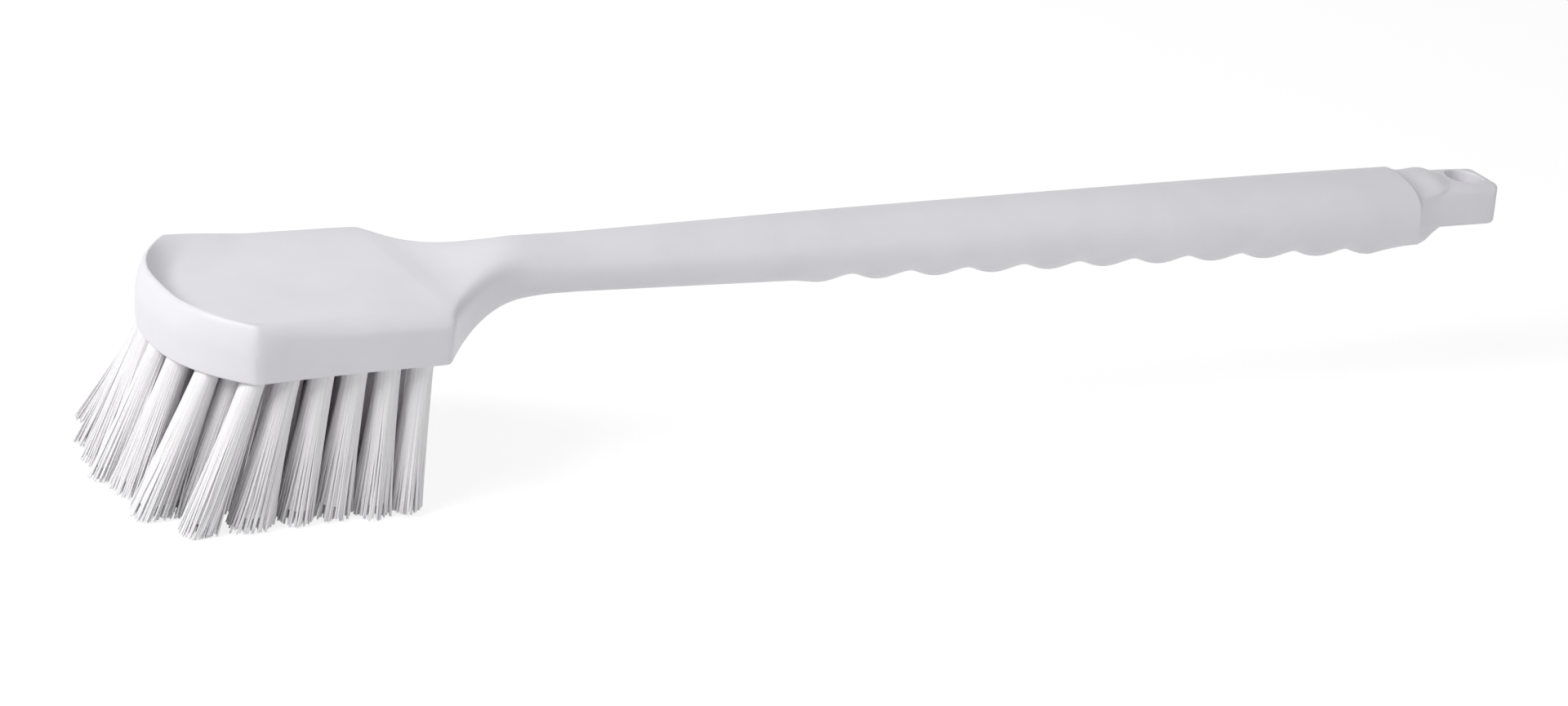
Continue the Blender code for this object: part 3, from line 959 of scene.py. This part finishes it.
    def hole_rings(self) -> list[Ring]:
        """Lay the hanging hole's cutter.

        Returns:
            Its sections, flared at both faces of the tab.
        """
        centre = self.length - self.hole_to_end
        profile = [(-self.hole_clearance, self.hole_rim), (0.0, self.hole_rim)]
        for degrees in steps(0.0, 90.0, self.rim_cells):
            turn = math.radians(degrees)
            depth = self.hole_rim * (1 - math.cos(turn))
            profile.append((depth, self.hole_rim * (1 - math.sin(turn))))
        turns = [2 * math.pi * i / self.hole_sides for i in range(self.hole_sides)]
        rings = []
        for below in (False, True):
            part = []
            for depth, grown in profile:
                reach = self.hole_radius + grown
                ring = []
                for turn in turns:
                    x = centre + reach * math.cos(turn)
                    z = self.tab_low + depth if below else self.tab_top(x) - depth
                    ring.append((x, reach * math.sin(turn), z))
                part.append(ring)
            rings += reversed(part) if below else part
        caps = []
        for ring in (rings[0], rings[-1]):
            level = sum(point[2] for point in ring) / self.hole_sides
            caps.append([(centre, 0.0, level)] * self.hole_sides)
        return [caps[0]] + rings + [caps[1]]

    def build(self, finish: bpy.types.Material) -> bpy.types.Object:
        """Build the moulding over its CAD node.

        Args:
            finish: The material that it is made of.

        Returns:
            The finished piece.
        """
        self.nose_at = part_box("handle_block")[0].x
        nose = (self.nose_at, 0.0, self.underside)
        block = wrapped_skin("brush_moulding", self.rings(), nose)
        cut_away(block, wrapped_skin("hanging_hole_cutter", self.hole_rings(), nose))
        smooth(block, self.crease)
        block.data.materials.clear()
        block.data.materials.append(finish)
        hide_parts("handle_block")
        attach(block, "root")
        return block


@dataclass(frozen=True)
class TuftShape:
    """What chance makes of one tuft."""

    tip: np.ndarray
    short: float
    tone: float
    twist: float
    spread: float


@dataclass
class Bristles:
    """The tufts of stiff filament, set in seven rows in the head's underside."""

    moulding: Moulding

    # Where the tufts stand and how far their tips lean out
    trim: float = 46.5 * MM
    side_inset: float = 5.6 * MM
    nose_inset: float = 6.5 * MM
    rear_inset: float = 6.8 * MM
    rows: tuple[int, ...] = (6, 8, 7, 8, 7, 8, 6)
    front_lean: float = 14.6 * MM
    corner_lean: float = 2.6 * MM
    corner_power: int = 4
    rear_lean: float = 3.4 * MM
    lean_power: float = 1.8
    side_lean: float = 8.5 * MM
    side_lean_rear: float = 0.5

    # One tuft: a ring of filaments and more inside it, round a solid core that stops short
    bundle_radius: float = 3.3 * MM
    inner_reach: float = 0.92
    root_depth: float = 4.0 * MM
    outer_filaments: int = 78
    inner_filaments: int = 72
    filament_sides: int = 5
    thickness: float = 0.64 * MM
    segments: int = 5
    spread: tuple[float, float] = (1.5, 1.9)
    spread_power: float = 1.15
    lobes: int = 3
    lobe: float = 0.11
    core_sides: int = 20
    core_depth: float = 0.25 * MM
    core_short: float = 4.5 * MM
    crease: float = 80.0

    # What chance does to a tuft and its filaments: usual sizes, or the ends of an even range
    seed: int = 7
    tip_scatter: tuple[float, float] = (1.4 * MM, 1.1 * MM)
    short_tuft: float = 0.6 * MM
    tones: tuple[float, float] = (0.5, 0.7)
    strand_tone: float = 0.2
    crowding: float = 0.3
    drift: float = 0.5 * MM
    drift_power: float = 2.5
    stray_share: float = 0.04
    stray_drift: float = 3.0
    short_strand: float = 0.8 * MM
    thicknesses: tuple[float, float] = (0.85, 1.1)

    def places(self) -> list[tuple[str, Vector, Vector]]:
        """Place the tufts row by row, from the nose to the rear.

        Returns:
            Each tuft's name, its root on the underside and how far its tips lean.
        """
        side = self.moulding.half_width - self.side_inset
        rear_x = self.moulding.head_length - self.rear_inset
        last_row = len(self.rows) - 1
        found = []
        for row, count in enumerate(self.rows):
            y = side * (2 * row / last_row - 1)
            first_x = self.moulding.nose_x(y) + self.nose_inset * self.moulding.nose_slant(y)
            for i in range(count):
                x = between(first_x, rear_x, i / (count - 1))
                ahead = 1 - i / (count - 1)
                lean_x = between(self.rear_lean, self.front_lean, ahead ** self.lean_power)
                lean_x += self.corner_lean * (ahead * y / side) ** self.corner_power
                lean_y = self.side_lean * (y / side) * abs(y / side)
                lean_y *= between(self.side_lean_rear, 1.0, ahead)
                name = "tuft_%02d" % (len(found) + 1)
                found.append((name, Vector((x, y, 0.0)), Vector((-lean_x, lean_y, -self.trim))))
        return found

    def rod_model(self, sides: int) -> tuple[np.ndarray, list[tuple[int, ...]]]:
        """Model a slender rod of unit size, cut into lengths.

        Args:
            sides: How many sides it has.

        Returns:
            Its points, with Z from 0 at the root to 1 at the tip, and its faces.
        """
        deselect_all()
        middle = (0.0, 0.0, 0.5)
        bpy.ops.mesh.primitive_cylinder_add(vertices=sides, radius=0.5, depth=1.0, location=middle)
        rod = bpy.context.object
        bpy.ops.object.transform_apply(location=True, rotation=True, scale=True)
        bpy.ops.object.mode_set(mode="EDIT")
        for height in steps(0.0, 1.0, self.segments)[:-1]:
            bpy.ops.mesh.select_all(action="SELECT")
            bpy.ops.mesh.bisect(plane_co=(0.0, 0.0, height), plane_no=(0.0, 0.0, 1.0))
        bpy.ops.object.mode_set(mode="OBJECT")
        points = np.array([vert.co for vert in rod.data.vertices], float)
        faces = [tuple(face.vertices) for face in rod.data.polygons]
        bpy.data.objects.remove(rod, do_unlink=True)
        return points, faces

    def course(
        self, shape: TuftShape, heights: np.ndarray, short: float, offsets: np.ndarray,
    ) -> tuple[np.ndarray, np.ndarray]:
        """Lead points from a tuft's root to its tips.

        Args:
            shape: The tuft's shape.
            heights: Each point's height, from 0 at the root to 1 at the end.
            short: How far the end stops short of the trim.
            offsets: Each point's way from the tuft's middle at the root.

        Returns:
            The points, and each one's share of the free length.
        """
        share = between(-self.root_depth / self.trim, 1 - short / self.trim, heights)
        free = np.clip(share, 0.0, 1.0)
        angle = np.arctan2(offsets[..., 1], offsets[..., 0])
        grown = 1 + (shape.spread - 1) * free ** self.spread_power
        grown *= 1 + self.lobe * free * np.sin(self.lobes * angle + shape.twist)
        return np.outer(share, shape.tip) + grown[:, None] * offsets, free

    def filament(
        self, shape: TuftShape, rod: np.ndarray, offset: np.ndarray, dice: random.Random,
    ) -> tuple[np.ndarray, float]:
        """Bend one filament.

        Args:
            shape: The tuft's shape.
            rod: The points of a filament of unit size.
            offset: Its way from the tuft's middle at the root.
            dice: The source of chance.

        Returns:
            Its points, and its tone from 0 to 1.
        """
        stray = 1.0 if dice.random() < 1 - self.stray_share else self.stray_drift
        drift = np.array([dice.gauss(0, self.drift), dice.gauss(0, self.drift), 0.0]) * stray
        short = shape.short + abs(dice.gauss(0, self.short_strand))
        points, free = self.course(shape, rod[:, 2], short, np.tile(offset, (len(rod), 1)))
        points += np.outer(free ** self.drift_power, drift)
        turn = dice.uniform(0, math.pi / 2)
        cos, sin = math.cos(turn), math.sin(turn)
        thick = self.thickness * dice.uniform(*self.thicknesses)
        points[:, 0] += (rod[:, 0] * cos - rod[:, 1] * sin) * thick
        points[:, 1] += (rod[:, 0] * sin + rod[:, 1] * cos) * thick
        tone = shape.tone + dice.gauss(0, self.strand_tone)
        return points, min(max(tone, 0.0), 1.0)

    def tuft_parts(
        self, rod: np.ndarray, core: np.ndarray, lean: Vector, dice: random.Random,
    ) -> list[tuple[np.ndarray, float]]:
        """Lay the core and the filaments of one tuft, with its root at the origin.

        Args:
            rod: The points of a filament of unit size.
            core: The points of a core of unit size.
            lean: From the root to the middle of the tips.
            dice: The source of chance.

        Returns:
            The points of the core and then of each filament, each with a tone from 0 to 1.
        """
        along, across = self.tip_scatter
        shape = TuftShape(
            tip=np.array(lean) + np.array([dice.gauss(0, along), dice.gauss(0, across), 0.0]),
            short=abs(dice.gauss(0, self.short_tuft)),
            tone=dice.uniform(*self.tones),
            twist=dice.uniform(0, 2 * math.pi),
            spread=dice.uniform(*self.spread),
        )
        width = 2 * (self.bundle_radius - self.core_depth)
        core_offsets = core * np.array([width, width, 0.0])
        middle, _ = self.course(shape, core[:, 2], shape.short + self.core_short, core_offsets)
        parts = [(middle, shape.tone)]
        golden = math.pi * (3 - math.sqrt(5))
        for i in range(self.outer_filaments + self.inner_filaments):
            inner = i - self.outer_filaments
            if inner < 0:
                reach = self.bundle_radius
                crowded = i + dice.uniform(-self.crowding, self.crowding)
                angle = 2 * math.pi * crowded / self.outer_filaments
            else:
                filled = (inner + 0.5) / self.inner_filaments
                reach = self.inner_reach * self.bundle_radius * math.sqrt(filled)
                angle = golden * inner
            offset = np.array([math.cos(angle), math.sin(angle), 0.0]) * reach
            parts.append(self.filament(shape, rod, offset, dice))
        return parts

    def build(
        self, finish: bpy.types.Material, low: Vector, high: Vector,
    ) -> list[bpy.types.Object]:
        """Build all tufts, each over its CAD node and inside the whole brush's box.

        Args:
            finish: The material of the filaments.
            low: The lowest corner of the box.
            high: The highest corner of the box.

        Returns:
            The tufts.
        """
        rod, rod_faces = self.rod_model(self.filament_sides)
        core, core_faces = self.rod_model(self.core_sides)
        dice = random.Random(self.seed)
        shift = np.array([self.moulding.nose_at, 0.0, self.moulding.underside])
        tufts = []
        for name, root, lean in self.places():
            parts = self.tuft_parts(rod, core, lean, dice)
            points = np.vstack([part for part, _ in parts]) + np.array(root) + shift
            points = np.clip(points, np.array(low), np.array(high))
            tones = np.concatenate([np.full(len(part), tone) for part, tone in parts])
            faces = list(core_faces)
            for i in range(len(parts) - 1):
                start = len(core) + i * len(rod)
                faces += [tuple(corner + start for corner in face) for face in rod_faces]
            mesh = bpy.data.meshes.new("bristles_" + name)
            mesh.from_pydata(points.tolist(), [], faces)
            strand = mesh.attributes.new(STRAND, "FLOAT", "POINT")
            strand.data.foreach_set("value", tones.astype(np.float32))
            mesh.materials.append(finish)
            tuft = bpy.data.objects.new("bristles_" + name, mesh)
            bpy.context.scene.collection.objects.link(tuft)
            smooth(tuft, self.crease)
            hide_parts(name)
            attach(tuft, "root")
            tufts.append(tuft)
        return tufts


@dataclass
class Studio:
    """A plain pale floor, soft light from the nose's side and the camera of the photograph."""

    # Camera, in degrees, with its lens and sensor in millimetres
    azimuth: float = -33.1
    elevation: float = 21.9
    roll: float = 8.89
    lens: float = 102.45
    sensor: float = 36.0
    far_limit: float = 50.0
    distance: float = 1.442
    target: Point = (-0.02118, 0.0, 0.0233)

    # Light
    world_strength: float = 0.33
    key_power: float = 16.4
    key_distance: float = 1.6
    key_size: float = 0.9
    key_from: Point = (-0.775, -0.06, 0.63)
    fill_power: float = 0.4
    fill_size: float = 0.3
    fill_place: Point = (0.115, -0.42, 0.2)
    fill_target: Point = (0.08, 0.0, 0.06)

    # Floor, as the light finds it and as it is seen
    floor_size: float = 12.0
    floor_tone: float = 0.88
    seen_tone: float = 0.35
    seen_glow: float = 0.8

    def camera(self) -> None:
        """Place the camera of the scene."""
        deselect_all()
        bpy.ops.object.camera_add()
        camera = bpy.context.object
        camera.name = "photo_camera"
        camera.data.lens = self.lens
        camera.data.sensor_width = self.sensor
        camera.data.clip_end = self.far_limit
        turned = Matrix.Translation(self.target)
        for degrees, axis in ((self.azimuth, "Z"), (90 - self.elevation, "X"), (self.roll, "Z")):
            turned = turned @ Matrix.Rotation(math.radians(degrees), 4, axis)
        camera.matrix_world = turned @ Matrix.Translation((0.0, 0.0, self.distance))
        bpy.context.scene.camera = camera

    def soft_light(
        self, name: str, power: float, size: float, place: Vector, target: Vector,
    ) -> None:
        """Place a round soft light.

        Args:
            name: Its name.
            power: Its power in watts.
            size: Its diameter.
            place: Where it stands.
            target: What it points at.
        """
        deselect_all()
        bpy.ops.object.light_add(type="AREA")
        light = bpy.context.object
        light.name = name
        light.data.shape = "DISK"
        light.data.size = size
        light.data.energy = power
        turned = (place - target).normalized().to_track_quat("Z", "Y").to_matrix().to_4x4()
        light.matrix_world = Matrix.Translation(place) @ turned

    def lights(self) -> None:
        """Place the key light and the fill light and set the world."""
        target = Vector(self.target)
        key_place = target + Vector(self.key_from).normalized() * self.key_distance
        self.soft_light("key_light", self.key_power, self.key_size, key_place, target)
        places = Vector(self.fill_place), Vector(self.fill_target)
        self.soft_light("fill_light", self.fill_power, self.fill_size, *places)
        recipe = Recipe(bpy.data.worlds.new("studio"))
        strength = self.seen(recipe) * (1 - self.world_strength) + self.world_strength
        inputs = {"Color": WHITE, "Strength": strength}
        light = recipe.node("ShaderNodeBackground", inputs=inputs)
        recipe.finish("ShaderNodeOutputWorld", light)
        bpy.context.scene.world = recipe.owner

    def seen(self, recipe: Recipe) -> Signal:
        """Tell what is seen from what only gives light.

        Args:
            recipe: The recipe that the nodes go into.

        Returns:
            1 for what is seen straight, in a reflection or through something, and else 0.
        """
        kind = "ShaderNodeLightPath"
        straight = recipe.node(kind, output="Is Camera Ray")
        glossy = recipe.node(kind, output="Is Glossy Ray")
        through = recipe.node(kind, output="Is Transmission Ray")
        return 1 - (1 - straight) * (1 - glossy) * (1 - through)

    def floor(self) -> None:
        """Lay the white floor, which keeps the brush's soft shadow."""
        deselect_all()
        bpy.ops.mesh.primitive_plane_add(size=self.floor_size, location=(0.0, 0.0, 0.0))
        floor = bpy.context.object
        floor.name = "studio_floor"
        recipe = Recipe(bpy.data.materials.new("studio_white"))
        greys = [(tone, tone, tone, 1.0) for tone in (self.floor_tone, self.seen_tone)]
        lit, shown = (recipe.node("ShaderNodeBsdfDiffuse", inputs={"Color": g}) for g in greys)
        inputs = {"Color": WHITE, "Strength": self.seen_glow}
        glow = recipe.node("ShaderNodeEmission", inputs=inputs)
        white = recipe.node("ShaderNodeAddShader", inputs={0: shown, 1: glow})
        inputs = {0: self.seen(recipe), 1: lit, 2: white}
        recipe.finish("ShaderNodeOutputMaterial", recipe.node("ShaderNodeMixShader", inputs=inputs))
        floor.data.materials.append(recipe.owner)
        floor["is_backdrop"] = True

    def build(self) -> None:
        """Set the colour handling, the camera, the light and the floor."""
        bpy.context.scene.view_settings.view_transform = "Standard"
        self.camera()
        self.lights()
        self.floor()


def main() -> None:
    """Build the whole scene in order, keeping the imported model's box for the tufts."""
    logging.basicConfig(level=logging.INFO, format="%(message)s")
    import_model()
    cad_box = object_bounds()
    Studio().build()
    moulding = Moulding()
    pieces = [moulding.build(SatinPlastic().material())]
    pieces += Bristles(moulding).build(Filament().material(), *cad_box)
    for piece in pieces:
        log.info("%s: %d faces", piece.name, len(piece.data.polygons))


if __name__ == "__main__":
    main()
